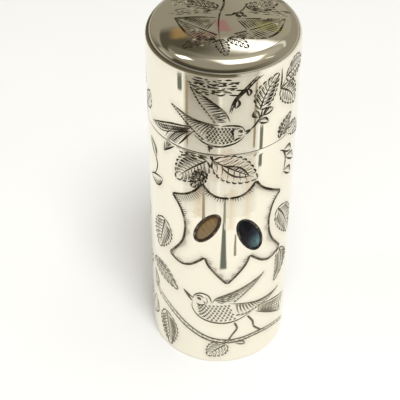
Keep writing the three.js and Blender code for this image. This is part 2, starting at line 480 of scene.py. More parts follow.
def hanging_leaves():
    """The pair of leaves that hang from the bird over the top of the shield."""
    cuts = [cut([(-2.8, 45.9), (-3.0, 44.6), (-2.6, 43.3), (-2.0, 42.0)], STEM * 1.3, TAIL)]
    cuts += berries([(-2.9, 45.2)], 0.3)
    cuts += strokes((-7.3, 42.8), (-3.3, 43.8), 3)
    cuts += leaf((-3.3, 42.8), (-8.2, 37.9), 4.4, bow=-0.04, veins=8, hatch=(2, 3), teeth=9)
    cuts += leaf((-3.9, 41.0), (-5.6, 37.3), 2.0, bow=0.05, veins=6, hatch=(3, 3))
    cuts += leaf((-2.5, 42.9), (4.2, 38.8), 4.5, bow=0.02, veins=6, hatch=(1, 0), teeth=9)
    cuts += blade((-1.3, 42.0), (2.9, 39.6), 1.7, bow=0.02, hatch=7)
    return cuts


def leaves_beside_shield():
    """The leaves to the left and right of the shield and below it."""
    cuts = blade((-14.6, 41.8), (-12.8, 38.8), 1.3, hatch=9)
    cuts += blade((-11.0, 36.0), (-14.8, 34.4), 1.8, hatch=9)
    cuts += [cut([(-12.8, 39.0), (-12.4, 37.8), (-12.8, 36.4), (-13.6, 35.2)], STEM, TAIL)]
    cuts += leaf((-10.7, 28.3), (-12.4, 21.4), 4.0, bow=0.0, veins=7, hatch=(3, 2), teeth=9)
    cuts += leaf((8.6, 30.6), (12.2, 23.2), 3.8, bow=0.06, veins=7, hatch=(3, 3), teeth=8)
    cuts += [cut([(8.2, 42.0), (9.2, 41.2), (9.8, 39.4), (9.4, 36.8)], STEM)]
    for base, tip in (((9.2, 41.4), (11.4, 40.2)), ((9.8, 39.8), (12.6, 37.6)), ((9.4, 37.4), (11.8, 35.4))):
        cuts += blade(base, tip, 1.2)
    cuts += leaf((9.6, 21.6), (8.7, 15.0), 3.2, bow=0.2, veins=8, hatch=(4, 3), teeth=8)
    return cuts


def branch_cuts():
    """The perched bird, its branch and the leaves on it."""
    cuts = placed(perched_bird(), (-2.1, 12.5))
    cuts += branch([(-14.6, 12.3), (-12.5, 11.0), (-10.1, 9.9), (-8.2, 8.7), (-6.5, 7.5), (-4.1, 6.1),
                    (-2.1, 5.3), (0.5, 4.9), (2.8, 5.0), (5.3, 5.2), (8.4, 4.7), (11.0, 3.8),
                    (13.6, 2.2)], 0.9)
    cuts += leaf((-10.9, 8.0), (-10.0, 0.5), 3.8, bow=0.02, veins=9, hatch=(4, 4), teeth=9)
    cuts += leaf((0.1, 4.2), (-3.0, 1.4), 3.2, bow=-0.04, hatch=(1, 2), teeth=7)
    cuts += leaf((-14.4, 17.3), (-8.1, 14.7), 2.9, bow=0.1, veins=7, hatch=(3, 2), teeth=8)
    cuts += blade((-14.4, 15.0), (-13.6, 11.0), 1.0) + blade((-14.2, 9.0), (-15.8, 3.6), 2.2, hatch=9)
    cuts += blade((1.6, 4.4), (3.3, 3.6), 0.8)
    return cuts


def top_cuts():
    """The leaf spray on the top of the cap, with its stem towards the front."""
    cuts = [cut([(-0.3, 6.4), (0.0, 3.4), (-0.6, 0.6), (-0.8, -2.0), (-0.7, -5.6)], STEM, TAIL)]
    # The big pair, half open, with level upper edges.
    cuts += half_open_leaf([(-0.8, -0.5), (-3.0, -0.2), (-5.0, -0.1), (-6.9, -0.15)],
                           [(-0.9, -4.6), (-3.1, -3.1), (-5.2, -1.5), (-6.9, -0.15)],
                           [(-0.8, -4.9), (-2.4, -5.6), (-4.2, -5.0), (-5.5, -3.3), (-6.9, -0.15)])
    cuts += half_open_leaf([(1.5, -0.7), (4.0, -0.5), (6.4, -0.3), (8.5, -0.05)],
                           [(1.2, -4.3), (3.8, -3.1), (6.4, -1.5), (8.5, -0.05)],
                           [(1.2, -4.6), (3.2, -5.1), (5.6, -4.8), (7.4, -3.2), (8.5, -0.05)])
    # Small leaves below it, and berries above.
    cuts += leaf((-1.2, -5.5), (-5.8, -7.1), 1.9, bow=-0.1, hatch=(2, 2))
    cuts += leaf((-0.7, -5.4), (0.2, -8.9), 1.6, bow=0.0)
    cuts += leaf((0.4, -5.2), (3.2, -7.2), 1.6, bow=0.1, veins=4, teeth=5)
    cuts += [cut([(0.0, 0.2), (1.2, 0.4), (2.6, 1.7), (3.2, 3.6)], STEM, TAIL)]
    cuts += berries([(1.5, 0.5), (2.3, 0.7), (1.9, -0.1), (2.7, 0.0)], 0.32)
    # Farther leaves, with level strokes about them.
    cuts += leaf((-0.8, 2.2), (-5.6, 4.0), 2.6, veins=6, hatch=(1, 2), teeth=7)
    cuts += leaf((3.0, 2.6), (7.6, 4.0), 2.4, bow=-0.1, veins=6, teeth=7)
    cuts += leaf((-0.4, 4.6), (-1.8, 9.0), 3.0, bow=-0.1, veins=6, hatch=(2, 1), teeth=7)
    cuts += leaf((3.0, 4.6), (3.6, 8.6), 2.4, bow=0.1)
    cuts += strokes((-7.6, 0.6), (-0.9, 2.2), 4, 0.22) + strokes((3.2, 0.5), (9.0, 2.5), 5, 0.22)
    cuts += strokes((-7.6, 3.2), (-3.4, 6.2), 7, 0.22) + strokes((4.6, 4.3), (8.4, 6.4), 5, 0.22)
    return cuts


def half_open_leaf(top, midrib, low):
    """A leaf between three curves that meet at its tip, hatched on both halves."""
    cuts = [cut(top), cut(midrib, LINE, TAIL), cut(low, LINE * 1.2)]
    return cuts + hatched(top, midrib, 20, 0.25, 0.24) + hatched(midrib, low, 20, 0.25, 0.16)


def side_cuts():
    """The sides and back: three leaf sprays climbing from the foot, with birds between them."""
    cuts = spray([(18.8, 1.8), (19.9, 9.0), (18.6, 17.0), (19.9, 25.0), (19.0, 33.0)], 6, size=5.6)
    cuts += spray([(34.0, 1.8), (35.2, 10.0), (33.9, 19.0), (35.3, 28.0), (34.4, 37.0)], 7, size=5.4)
    cuts += spray([(-19.6, 1.8), (-20.6, 10.0), (-19.2, 19.0), (-20.4, 28.0), (-19.4, 35.0)], 6, size=5.6)

    # Birds, with a twig below each perched one.
    cuts += placed(flying_bird(), (29.2, 36.6), turn=8, size=0.5)
    cuts += placed(perched_bird(), (25.0, 13.6), size=0.52)
    cuts += branch([(22.4, 8.4), (24.8, 10.0), (27.6, 10.3), (30.4, 9.6)], 0.6)
    cuts += placed(perched_bird(), (-25.6, 24.6), size=0.52, mirror=True)
    cuts += branch([(-30.4, 20.2), (-27.8, 21.2), (-25.2, 21.0), (-23.4, 19.6)], 0.6)
    cuts += placed(flying_bird(), (-25.2, 10.4), turn=-8, size=0.46)

    # Small sprays that fill between them.
    cuts += spray([(25.2, 19.6), (26.6, 22.6), (25.6, 26.0), (26.4, 29.0)], 4, size=3.8)
    cuts += spray([(24.4, 1.8), (26.2, 3.6), (28.2, 4.4)], 2, size=3.2)
    cuts += spray([(-24.2, 30.4), (-25.6, 33.4), (-24.8, 36.6), (-26.0, 39.6)], 4, size=4.0)
    cuts += spray([(-28.4, 2.0), (-26.6, 3.8), (-24.8, 4.2)], 2, size=3.0)

    # The cap's wall, and leaves that run over the joint.
    cuts += spray([(16.6, 41.6), (18.6, 45.6), (21.6, 48.8), (25.2, 50.6)], 6, size=5.0)
    cuts += spray([(35.6, 44.4), (33.6, 48.0), (30.6, 51.0)], 4, size=4.6)
    cuts += spray([(-16.0, 44.6), (-18.2, 48.4), (-21.4, 50.8), (-25.0, 51.6)], 6, size=4.8)
    return cuts


# ---------------------------------------------------------------- from cuts to grooved sheets

def cut_widths(count, width, taper):
    """The width at each point of a cut. Every cut starts and ends in a point."""
    t = np.linspace(0, 1, count)
    shape = {BOTH_ENDS: np.sin(np.pi * t) ** 0.6, TAIL: (1 - t) ** 0.6, EVEN: np.ones(count)}[taper]
    shape[0] = shape[-1] = 0
    return width * shape


def inside_only(cuts, is_inside):
    """The stretches of the cuts that lie inside a sheet."""
    kept = []
    for points, width, taper in cuts:
        inside = np.concatenate([[0], is_inside(points).astype(int), [0]])
        turns = np.flatnonzero(np.diff(inside))
        for start, end in zip(turns[::2], turns[1::2]):
            if end - start >= 3:
                kept.append((points[start:end], width, taper))
    return kept


def cut_outline(line, width, taper):
    """The edge of a cut, once round it, and its width at each point of its line."""
    widths = cut_widths(len(line), width, taper)
    run = np.gradient(line, axis=0)
    side = np.stack([-run[:, 1], run[:, 0]], 1) / np.hypot(*run.T)[:, None] * widths[:, None] / 2
    return [line[0], *(line - side)[1:-1], line[-1], *(line + side)[-2:0:-1]], widths


def sheet_depths(faces, grooved, sources, depths):
    """The depth of each point: 0 on the surface, its own in one cut, CROSSING_DEPTH where cuts cross."""
    on_rim = np.zeros(len(sources), bool)
    for face, deep in zip(faces, grooved):
        if not deep:
            on_rim[list(face)] = True
    depth = np.full(len(sources), CROSSING_DEPTH)
    for i, source in enumerate(sources):
        if source:
            depth[i] = max(depths[s] for s in source)
    depth[on_rim] = 0.0
    return depth


def grooved_sheet(cuts, grid, holes=()):
    """Triangles of a flat sheet, as points with depths, faces, and which faces are in a groove.

    Each cut is a V: its two edges stay on the surface and its middle line goes down. A face that
    lies in a hole is left out.
    """
    points = [tuple(p) for p in grid]
    depths = [0.0] * len(points)
    edges, outlines = [], []
    for hole in holes:
        outlines.append(list(range(len(points), len(points) + len(hole))))
        points += [tuple(p) for p in hole]
        depths += [0.0] * len(hole)
    for line, width, taper in cuts:
        rim, widths = cut_outline(line, width, taper)
        first, middle = len(points), len(points) + len(rim)
        points += [tuple(p) for p in rim] + [tuple(p) for p in line[1:-1]]
        depths += [0.0] * len(rim) + list(GROOVE_SLOPE * widths[1:-1])
        outlines.append(list(range(first, middle)))
        chain = [first, *range(middle, len(points)), first + len(line) - 1]
        edges += list(zip(chain[:-1], chain[1:]))
    found, _, faces, sources, _, face_sources = delaunay_2d_cdt(
        [Vector(p) for p in points], edges, outlines, 0, 1e-3, True)
    places = np.array([tuple(p) for p in found])
    keep = [not any(s < len(holes) for s in source) for source in face_sources]
    grooved = [bool(source) for source, wanted in zip(face_sources, keep) if wanted]
    faces = [tuple(face) for face, wanted in zip(faces, keep) if wanted]
    return places, sheet_depths(faces, grooved, sources, depths), faces, grooved


# ---------------------------------------------------------------- bending sheets round the case

def around(angle):
    """Outward direction at an angle round the axis from the front line."""
    return np.stack([np.sin(angle), -np.cos(angle), 0 * angle], 1)


def on_case(angle, radius, height):
    """Points, one to a row, at angles round the axis, with their radii and heights."""
    return around(angle) * np.reshape(radius, (-1, 1)) + np.reshape(height, (-1, 1)) * (0, 0, 1)


def linked(name, data):
    """A new object in the scene."""
    obj = bpy.data.objects.new(name, data)
    bpy.context.scene.collection.objects.link(obj)
    return obj


def ring_faces(first, second, count):
    """Faces between two closed rings of points, given the number of each ring's first point."""
    return [(first + k, first + (k + 1) % count, second + (k + 1) % count, second + k) for k in range(count)]


class Skin:
    """Gathers the surfaces of one piece, in millimetres, with a normal for each corner."""

    def __init__(self):
        self.points, self.faces, self.slots, self.normals = [], [], [], []

    def add(self, points, faces, normals, slots=None):
        """`normals` has one for each point; the faces of a groove keep their own, flat ones."""
        first = len(self.points)
        self.points += list(points)
        for i, face in enumerate(faces):
            self.faces.append(tuple(first + j for j in face))
            self.slots.append(slots[i] if slots else PLAIN)
            flat = self.slots[-1] == ENGRAVED
            self.normals += [(0.0, 0.0, 0.0) if flat else tuple(normals[j]) for j in face]

    def piece(self, name, materials):
        """The finished object: corners that meet are joined, and the given normals are kept."""
        mesh = bpy.data.meshes.new(name)
        mesh.from_pydata([tuple(p * MM for p in point) for point in self.points], [], self.faces)
        mesh.polygons.foreach_set("material_index", self.slots)
        mesh.polygons.foreach_set("use_smooth", [True] * len(self.faces))
        given = mesh.attributes.new("given_normal", "FLOAT_VECTOR", "CORNER")
        given.data.foreach_set("vector", np.array(self.normals, float).ravel())
        work = bmesh.new()
        work.from_mesh(mesh)
        bmesh.ops.remove_doubles(work, verts=work.verts, dist=JOIN_DISTANCE * MM)
        bmesh.ops.dissolve_degenerate(work, edges=work.edges, dist=JOIN_DISTANCE * MM)
        work.to_mesh(mesh)
        work.free()
        use_given_normals(mesh)
        for material in materials:
            mesh.materials.append(material)
        return linked(name, mesh)


def use_given_normals(mesh):
    """Gives each corner its given normal, or its face's own where none was given."""
    given = mesh.attributes["given_normal"]
    corners = np.zeros(len(mesh.loops) * 3)
    given.data.foreach_get("vector", corners)
    corners = corners.reshape(-1, 3)
    mesh.attributes.remove(given)
    flat = np.zeros(len(mesh.polygons) * 3)
    mesh.polygons.foreach_get("normal", flat)
    totals = np.zeros(len(mesh.polygons), int)
    mesh.polygons.foreach_get("loop_total", totals)
    own = np.repeat(flat.reshape(-1, 3), totals, axis=0)
    missing = np.abs(corners).sum(1) < 0.5
    corners[missing] = own[missing]
    mesh.normals_split_custom_set(corners.tolist())


def turned(skin, profile):
    """Adds a (radius, height) profile turned round the axis, with the metal on the profile's left."""
    profile = np.array(profile, float)
    run = np.diff(profile, axis=0)
    out = np.stack([run[:, 1], -run[:, 0]], 1) / np.hypot(*run.T)[:, None]
    angle = -math.pi + 2 * math.pi * np.arange(ROUND_STEPS + 1) / ROUND_STEPS
    for i in range(len(run)):
        ends = [out[i], out[i]]
        for end, j in ((0, i - 1), (1, i + 1)):
            if 0 <= j < len(run) and out[i] @ out[j] > math.cos(SHARP_BEND):
                blend = out[i] + out[j]
                ends[end] = blend / np.hypot(*blend)
        points, normals = [], []
        for (radius, height), (across, up) in zip(profile[i:i + 2], ends):
            points.append(on_case(angle, radius, height))
            normals.append(on_case(angle, across, up))
        row = ROUND_STEPS + 1
        faces = []
        for k in range(ROUND_STEPS):
            corners = (k, k + 1, row + k + 1, row + k)
            if profile[i, 0] == 0:
                corners = (k, row + k + 1, row + k)
            elif profile[i + 1, 0] == 0:
                corners = (k, k + 1, row + k)
            faces.append(corners)
        skin.add(np.vstack(points), faces, np.vstack(normals))


def bend(centre_radius, centre_height, radius, start, end, steps=8):
    """Profile points of a round, from one angle to another in degrees."""
    angles = np.radians(np.linspace(start, end, steps + 1))
    return [(centre_radius + radius * math.cos(a), centre_height + radius * math.sin(a)) for a in angles]


def oval_on_wall(opening, inset, radius):
    """Points (angle, height) round an opening, anticlockwise seen from outside, on a wall of that radius."""
    arc, height, half_length, half_width, lean = opening
    turn = np.linspace(0, 2 * math.pi, OVAL_STEPS, endpoint=False)
    long, wide = (half_length - inset) * np.cos(turn), (half_width - inset) * np.sin(turn)
    c, s = math.cos(math.radians(lean)), math.sin(math.radians(lean))
    across, up = long * s - wide * c, long * c + wide * s
    return arc / RADIUS + np.arcsin(across / radius), height + up


def wall_sheet(skin, low, high, radius, cuts, openings, outward=True):
    """Adds a stretch of the case's wall with its grooves and its openings for stones."""
    half = math.pi * radius
    rows = max(2, round((high - low) / SHEET_STEP)) + 1
    grid = [(u, z) for z in np.linspace(low, high, rows) for u in np.linspace(-half, half, ROUND_STEPS + 1)]
    once_round = cuts + placed(cuts, (2 * half, 0)) + placed(cuts, (-2 * half, 0))
    kept = inside_only(once_round, lambda p: (p[:, 1] > low + EDGE_MARGIN) & (p[:, 1] < high - EDGE_MARGIN)
                       & (np.abs(p[:, 0]) < half - EDGE_MARGIN))
    holes = []
    for opening in openings:
        angle, height = oval_on_wall(opening, 0.0, radius)
        holes.append(np.stack([angle * radius, height], 1))
    places, depth, faces, grooved = grooved_sheet(kept, grid, holes)
    ways = around(places[:, 0] / radius)
    points = on_case(places[:, 0] / radius, radius - depth, places[:, 1])
    slots = [ENGRAVED if deep else PLAIN for deep in grooved]
    if not outward:
        ways, faces = -ways, [face[::-1] for face in faces]
    skin.add(points, faces, ways, slots)


def opening_sides(skin, opening):
    """Adds the cut edge of the wall round an opening."""
    rings, normals = [], []
    centre = opening[0] / RADIUS, opening[1]
    for radius in (RADIUS, INNER_RADIUS):
        angle, height = oval_on_wall(opening, 0.0, radius)
        rings.append(on_case(angle, radius, height))
        inwards = np.stack([(centre[0] - angle) * radius, centre[1] - height], 1)
        inwards /= np.hypot(*inwards.T)[:, None]
        sideways = np.stack([np.cos(angle), np.sin(angle), 0 * angle], 1)
        normals.append(sideways * inwards[:, :1] + inwards[:, 1:] * (0, 0, 1))
    skin.add(np.vstack(rings), ring_faces(0, OVAL_STEPS, OVAL_STEPS), np.vstack(normals))


def dome_sphere(round_radius):
    """Radius of the sphere that the dome is part of, above a shoulder of the given round."""
    return (SHOULDER_CENTRE + round_radius * math.sin(DOME_SLOPE)) / math.sin(DOME_SLOPE)


def roof_profile(run, round_radius=SHOULDER_ROUND):
    """Radius, height and lean of the normal at a distance `run` from the axis, along the cap's top."""
    sphere = dome_sphere(round_radius)
    dome_run = sphere * DOME_SLOPE
    on_dome = run < dome_run
    lean = np.where(on_dome, run / sphere, DOME_SLOPE + (run - dome_run) / round_radius)
    peak = SHOULDER_HEIGHT + round_radius * math.cos(DOME_SLOPE) + sphere * (1 - math.cos(DOME_SLOPE))
    sine, cosine = np.sin(lean), np.cos(lean)
    radius = np.where(on_dome, sphere * sine, SHOULDER_CENTRE + round_radius * sine)
    height = np.where(on_dome, peak - sphere * (1 - cosine), SHOULDER_HEIGHT + round_radius * cosine)
    return radius, height, lean


def roof_run(round_radius=SHOULDER_ROUND):
    """Distance along the cap's top from the axis to the straight wall."""
    return dome_sphere(round_radius) * DOME_SLOPE + round_radius * (math.pi / 2 - DOME_SLOPE)


def roof_sheet(skin, cuts):
    """Adds the cap's domed top and rounded shoulder with its grooves."""
    edge = roof_run()
    grid = [(0.0, 0.0)]
    for run in np.arange(edge, 0.5, -ROOF_STEP):
        steps = ROUND_STEPS if edge - run < SHOULDER_ROUND * math.pi / 2 else ROUND_STEPS // 2
        angle = -math.pi + 2 * math.pi * np.arange(steps) / steps
        grid += [(run * math.sin(a), -run * math.cos(a)) for a in angle]
    kept = inside_only(cuts, lambda p: np.hypot(p[:, 0], p[:, 1]) < edge - EDGE_MARGIN)
    places, depth, faces, grooved = grooved_sheet(kept, grid)
    run = np.hypot(places[:, 0], places[:, 1])
    radius, height, lean = roof_profile(run)
    angle = np.arctan2(places[:, 0], -places[:, 1])
    normals = on_case(angle, np.sin(lean), np.cos(lean))
    points = on_case(angle, radius, height) - normals * depth[:, None]
    skin.add(points, faces, normals, [ENGRAVED if deep else PLAIN for deep in grooved])


# ---------------------------------------------------------------- materials

class Nodes:
    """A node tree under construction."""

    def __init__(self, owner):
        owner.use_nodes = True
        self.tree = owner.node_tree

    def node(self, kind, inputs=(), **settings):
        made = self.tree.nodes.new(kind)
        for key, value in settings.items():
            setattr(made, key, value)
        for key, value in dict(inputs).items():
            self.feed(value, made.inputs[key])
        return made

    def feed(self, value, socket):
        if isinstance(value, bpy.types.NodeSocket):
            self.tree.links.new(value, socket)
        else:
            socket.default_value = value

    def maths(self, operation, a, b=0.0):
        return self.node("ShaderNodeMath", {0: a, 1: b}, operation=operation).outputs[0]

    def times(self, *values):
        """The product of two or more values."""
        product = values[0]
        for value in values[1:]:
            product = self.maths("MULTIPLY", product, value)
        return product

    def parts(self, vector):
        return self.node("ShaderNodeSeparateXYZ", {"Vector": vector}).outputs

    def toward(self, x, y, length, azimuth):
        """How far (x, y) points to an azimuth from the front: 1 straight along it, -1 straight away."""
        angle = math.radians(azimuth)
        reach = self.maths("ADD", self.times(x, math.sin(angle)), self.times(y, -math.cos(angle)))
        return self.maths("DIVIDE", reach, length)

    def mix(self, share, low, high):
        """The colour `low` where `share` is 0 and `high` where it is 1."""
        made = self.node("ShaderNodeMix", {"Factor": share}, data_type="RGBA")
        self.feed(low, made.inputs["A"])
        self.feed(high, made.inputs["B"])
        return made.outputs["Result"]


class Shader(Nodes):
    """A node material under construction."""

    def __init__(self, name, roughness, metallic=0.0):
        self.material = bpy.data.materials.new(name)
        super().__init__(self.material)
        self.surface = self.tree.nodes["Principled BSDF"]
        self.surface.inputs["Roughness"].default_value = roughness
        self.surface.inputs["Metallic"].default_value = metallic
        self.place = self.node("ShaderNodeTexCoord").outputs["Object"]

    def stretched(self, scale, turn=(0, 0, 0)):
        """Object coordinates, scaled by axis and turned."""
        inputs = {"Vector": self.place, "Scale": scale, "Rotation": turn}
        return self.node("ShaderNodeMapping", inputs).outputs[0]

    def noise(self, scale, detail=3.0, where=None):
        inputs = {"Vector": where or self.place, "Scale": scale, "Detail": detail}
        return self.node("ShaderNodeTexNoise", inputs).outputs["Fac"]

    def wave(self, scale, turn, distortion, detail, detail_scale):
        """Warped bands, turned about the case's axes."""
        inputs = {"Vector": self.stretched((1, 1, 1), turn), "Scale": scale, "Distortion": distortion,
                  "Detail": detail, "Detail Scale": detail_scale}
        return self.node("ShaderNodeTexWave", inputs).outputs["Fac"]

    def ramp(self, value, low, high, to_low=0.0, to_high=1.0):
        inputs = {"Value": value, "From Min": low, "From Max": high, "To Min": to_low, "To Max": to_high}
        return self.node("ShaderNodeMapRange", inputs).outputs["Result"]

    def attribute(self, name):
        return self.node("ShaderNodeAttribute", attribute_name=name).outputs["Fac"]

    def bump(self, height, distance):
        made = self.node("ShaderNodeBump", {"Height": height, "Distance": distance})
        self.feed(made.outputs[0], self.surface.inputs["Normal"])

    def finish(self, **inputs):
        for key, value in inputs.items():
            self.feed(value, self.surface.inputs[key.replace("_", " ").title().replace("Ior", "IOR")])
        return self.material


def rgb(red, green, blue):
    return red, green, blue, 1.0


def scratches(shader, amount):
    """Thin, faint wear lines in two directions, as a value from 0 to `amount`."""
    upright = shader.noise(1.0, 1.0, shader.stretched((4200, 4200, 260), (0.10, 0.06, 0)))
    level = shader.noise(1.0, 1.0, shader.stretched((500, 500, 5200), (0.16, -0.12, 0.3)))
    both = shader.maths("MAXIMUM", shader.ramp(upright, 0.66, 0.74), shader.ramp(level, 0.67, 0.75))
    patches = shader.ramp(shader.noise(120.0, 2.0), 0.42, 0.62)
    return shader.times(both, patches, amount)


def polished_silver():
    """Polished silver with soft handling wear, and a darker bloom left beside the engraving."""
    shader = Shader("polished_silver", 0.07, 1.0)
    tarnish = shader.attribute("tarnish")
    cloud = shader.noise(90.0, 4.0)
    base = shader.mix(shader.ramp(cloud, 0.35, 0.7), rgb(0.92, 0.872, 0.748), rgb(0.89, 0.838, 0.705))
    colour = shader.mix(shader.times(tarnish, 0.42), base, rgb(0.42, 0.37, 0.29))
    wear = scratches(shader, 0.10)
    roughness = shader.maths("ADD", shader.ramp(cloud, 0.3, 0.7, 0.02, 0.045), wear)
    roughness = shader.maths("ADD", roughness, shader.times(tarnish, 0.07))
    shader.bump(shader.noise(260.0, 2.0), 0.00001)
    return shader.finish(base_color=colour, roughness=roughness)


def engraved_line():
    """The dark of the grooves: oxidised silver, rubbed paler in places, and paler towards the foot."""
    shader = Shader("engraved_line", 0.5, 0.8)
    rubbed = shader.ramp(shader.noise(900.0, 3.0), 0.50, 0.68)
    up = shader.parts(shader.place)["Z"]
    dark = shader.mix(shader.ramp(up, 0.034, 0.012), rgb(0.065, 0.052, 0.032), rgb(0.24, 0.215, 0.155))
    colour = shader.mix(rubbed, dark, rgb(0.42, 0.37, 0.26))
    return shader.finish(base_color=colour, roughness=shader.ramp(rubbed, 0, 1, 0.5, 0.22))


def inner_silver():
    """The softer, warmer silver of the sleeve, with drawing marks round it."""
    shader = Shader("inner_silver", 0.2, 1.0)
    lines = shader.noise(1.0, 2.0, shader.stretched((60, 60, 5200)))
    cloud = shader.ramp(shader.noise(140.0), 0.35, 0.7)
    colour = shader.mix(cloud, rgb(0.87, 0.79, 0.60), rgb(0.80, 0.70, 0.50))
    shader.bump(lines, 0.000004)
    return shader.finish(base_color=colour, roughness=shader.ramp(lines, 0.3, 0.7, 0.16, 0.3))


def rim_silver(name, tint):
    """Dark silver of the stones' rims, worn brighter in spots."""
    shader = Shader(name, 0.4, 0.7)
    worn = shader.ramp(shader.noise(1500.0, 3.0), 0.48, 0.72)
    colour = shader.mix(worn, rgb(*tint), rgb(0.22, 0.17, 0.11))
    return shader.finish(base_color=colour, roughness=shader.ramp(worn, 0, 1, 0.5, 0.28))


def tan_agate():
    """A tan and brown banded stone, darker towards its rim."""
    shader = Shader("tan_agate", 0.18)
    bands = shader.wave(420.0, (0.3, 0.5, 0.9), 5.0, 3.0, 2.0)
    light = shader.mix(bands, rgb(0.18, 0.10, 0.035), rgb(0.29, 0.17, 0.06))
    colour = shader.mix(shader.ramp(shader.noise(520.0, 4.0), 0.4, 0.7), light, rgb(0.20, 0.14, 0.055))
    edge = shader.ramp(shader.attribute("from_middle"), 0.72, 1.0)
    colour = shader.mix(edge, colour, rgb(0.035, 0.018, 0.01))
    return shader.finish(base_color=colour, specular_ior_level=0.35)


def dark_abalone():
    """A near-black stone with a teal patch low on its right and a purple cast low on its left."""
    shader = Shader("dark_abalone", 0.12)
    ripple = shader.wave(520.0, (0.6, 0.2, 0.4), 9.0, 4.0, 2.5)
    arc, height = STONE_OPENINGS["right"][:2]
    middle = RADIUS * math.sin(arc / RADIUS)
    parts = shader.parts(shader.place)

    def above(start, end):
        return shader.ramp(parts["Z"], (height + start) * MM, (height + end) * MM)

    across = shader.ramp(parts["X"], (middle - 0.4) * MM, (middle + 1.2) * MM)
    down = above(0.2, -1.4)
    teal = shader.times(across, down, above(-3.4, -2.2), shader.ramp(ripple, 0.1, 0.8, 0.55, 1.0))
    plum = shader.times(shader.maths("SUBTRACT", 1.0, across), down, 0.7)
    blue = shader.times(above(1.6, -0.6), across, 0.8)
    cloud = shader.ramp(shader.noise(600.0, 4.0), 0.4, 0.7)
    colour = shader.mix(cloud, rgb(0.003, 0.003, 0.004), rgb(0.008, 0.009, 0.014))
    colour = shader.mix(plum, colour, rgb(0.03, 0.016, 0.024))
    colour = shader.mix(blue, colour, rgb(0.02, 0.035, 0.06))
    colour = shader.mix(teal, colour, rgb(0.11, 0.22, 0.23))
    return shader.finish(base_color=colour, specular_ior_level=0.1)


def pale_floor():
    """The plain pale material of the floor, very slightly cloudy."""
    shader = Shader("pale_floor", 0.85)
    colour = shader.mix(shader.noise(30.0, 3.0), rgb(0.88, 0.885, 0.885), rgb(0.90, 0.905, 0.905))
    return shader.finish(base_color=colour)


# ---------------------------------------------------------------- pieces

def add_tarnish(obj, cuts, to_sheet):
    """Marks how near each point of a skin is to the engraving, for the darker bloom beside it."""
    tree = KDTree(sum(len(points) for points, _, _ in cuts))
    spots = np.vstack([points for points, _, _ in cuts])
    for i, (x, y) in enumerate(spots):
        tree.insert((x, y, 0.0), i)
    tree.balance()
    mesh = obj.data
    values = []
    for vertex in mesh.vertices:
        place = to_sheet(np.array(vertex.co) / MM)
        found = tree.find_n((*place, 0.0), BLOOM_NEIGHBOURS) if place is not None else []
        near = sum(max(0.0, 1.0 - distance / BLOOM_REACH) for _, _, distance in found)
        values.append(near / BLOOM_NEIGHBOURS)
    layer = mesh.attributes.new("tarnish", "FLOAT", "POINT")
    layer.data.foreach_set("value", values)


def wall_place(point):
    """The place on the wall's flat sheet of a point on the outer wall, or None elsewhere."""
    if np.hypot(point[0], point[1]) < OUTER_SKIN:
        return None
    return RADIUS * math.atan2(point[0], -point[1]), point[2]


def body_piece(cuts, metals):
    """The engraved tube, open at both ends, with its openings for the stones."""
    skin = Skin()
    openings = list(STONE_OPENINGS.values())
    wall_sheet(skin, FOOT_ROUND, BODY_TOP - RIM_ROUND, RADIUS, cuts, openings)
    wall_sheet(skin, 0.0, BODY_TOP, INNER_RADIUS, [], openings, outward=False)
    for opening in openings:
        opening_sides(skin, opening)
    turned(skin, [(INNER_RADIUS, 0), *bend(RADIUS - FOOT_ROUND, FOOT_ROUND, FOOT_ROUND, -90, 0)])
    rim = bend(RADIUS - RIM_ROUND, BODY_TOP - RIM_ROUND, RIM_ROUND, 0, 90, 4)
    turned(skin, [*rim, (INNER_RADIUS, BODY_TOP)])
    piece = skin.piece("engraved_body", metals)
    add_tarnish(piece, cuts, wall_place)
    return piece


def cap_piece(wall_cuts, top_cuts, metals):
    """The engraved cap: its wall, its rounded top and its inside."""
    skin = Skin()
    wall_sheet(skin, CAP_MOUTH + RIM_ROUND, SHOULDER_HEIGHT, RADIUS, wall_cuts, [])
    roof_sheet(skin, top_cuts)
    rim = bend(RADIUS - RIM_ROUND, CAP_MOUTH + RIM_ROUND, RIM_ROUND, -90, 0, 4)
    turned(skin, [(INNER_RADIUS, CAP_MOUTH), *rim])
    run = np.linspace(0, roof_run(SHOULDER_ROUND - WALL), 40)
    radius, height, _ = roof_profile(run, SHOULDER_ROUND - WALL)
    turned(skin, [*zip(radius, height), (INNER_RADIUS, CAP_MOUTH)])
    piece = skin.piece("engraved_cap", metals)
    add_tarnish(piece, wall_cuts, wall_place)
    return piece


def base_piece(metal):
    """The disc in the foot, with a soft edge and a shallow turned step on its underside."""
    skin = Skin()
    radius, top = BASE_HIGH[0], BASE_HIGH[2]
    step_radius, step_rise, step_slope = radius - 2.0, 0.12, 0.2
    edge_round, top_bevel = 0.15, 0.1
    edge = bend(radius - edge_round, edge_round, edge_round, -90, 0, 4)
    turned(skin, [(0, step_rise), (step_radius - step_slope, step_rise), (step_radius, 0.0), *edge,
                  (radius, top - top_bevel), (radius - top_bevel, top), (0, top)])
    return skin.piece("base_plate", [metal])


def sleeve_piece(metal):
    """The sleeve, with a rounded lip that the cap slides over."""
    skin = Skin()
    low, high = SLEEVE_LOW[2], SLEEVE_HIGH[2]
    middle, half = SLEEVE_RADIUS - SLEEVE_WALL / 2, SLEEVE_WALL / 2
    inner = SLEEVE_RADIUS - SLEEVE_WALL
    turned(skin, [(inner, high - half), (inner, low), (SLEEVE_RADIUS, low), (SLEEVE_RADIUS, high - half),
                  *bend(middle, high - half, half, 0, 180, 12)[1:]])
    return skin.piece("cap_sleeve", [metal])


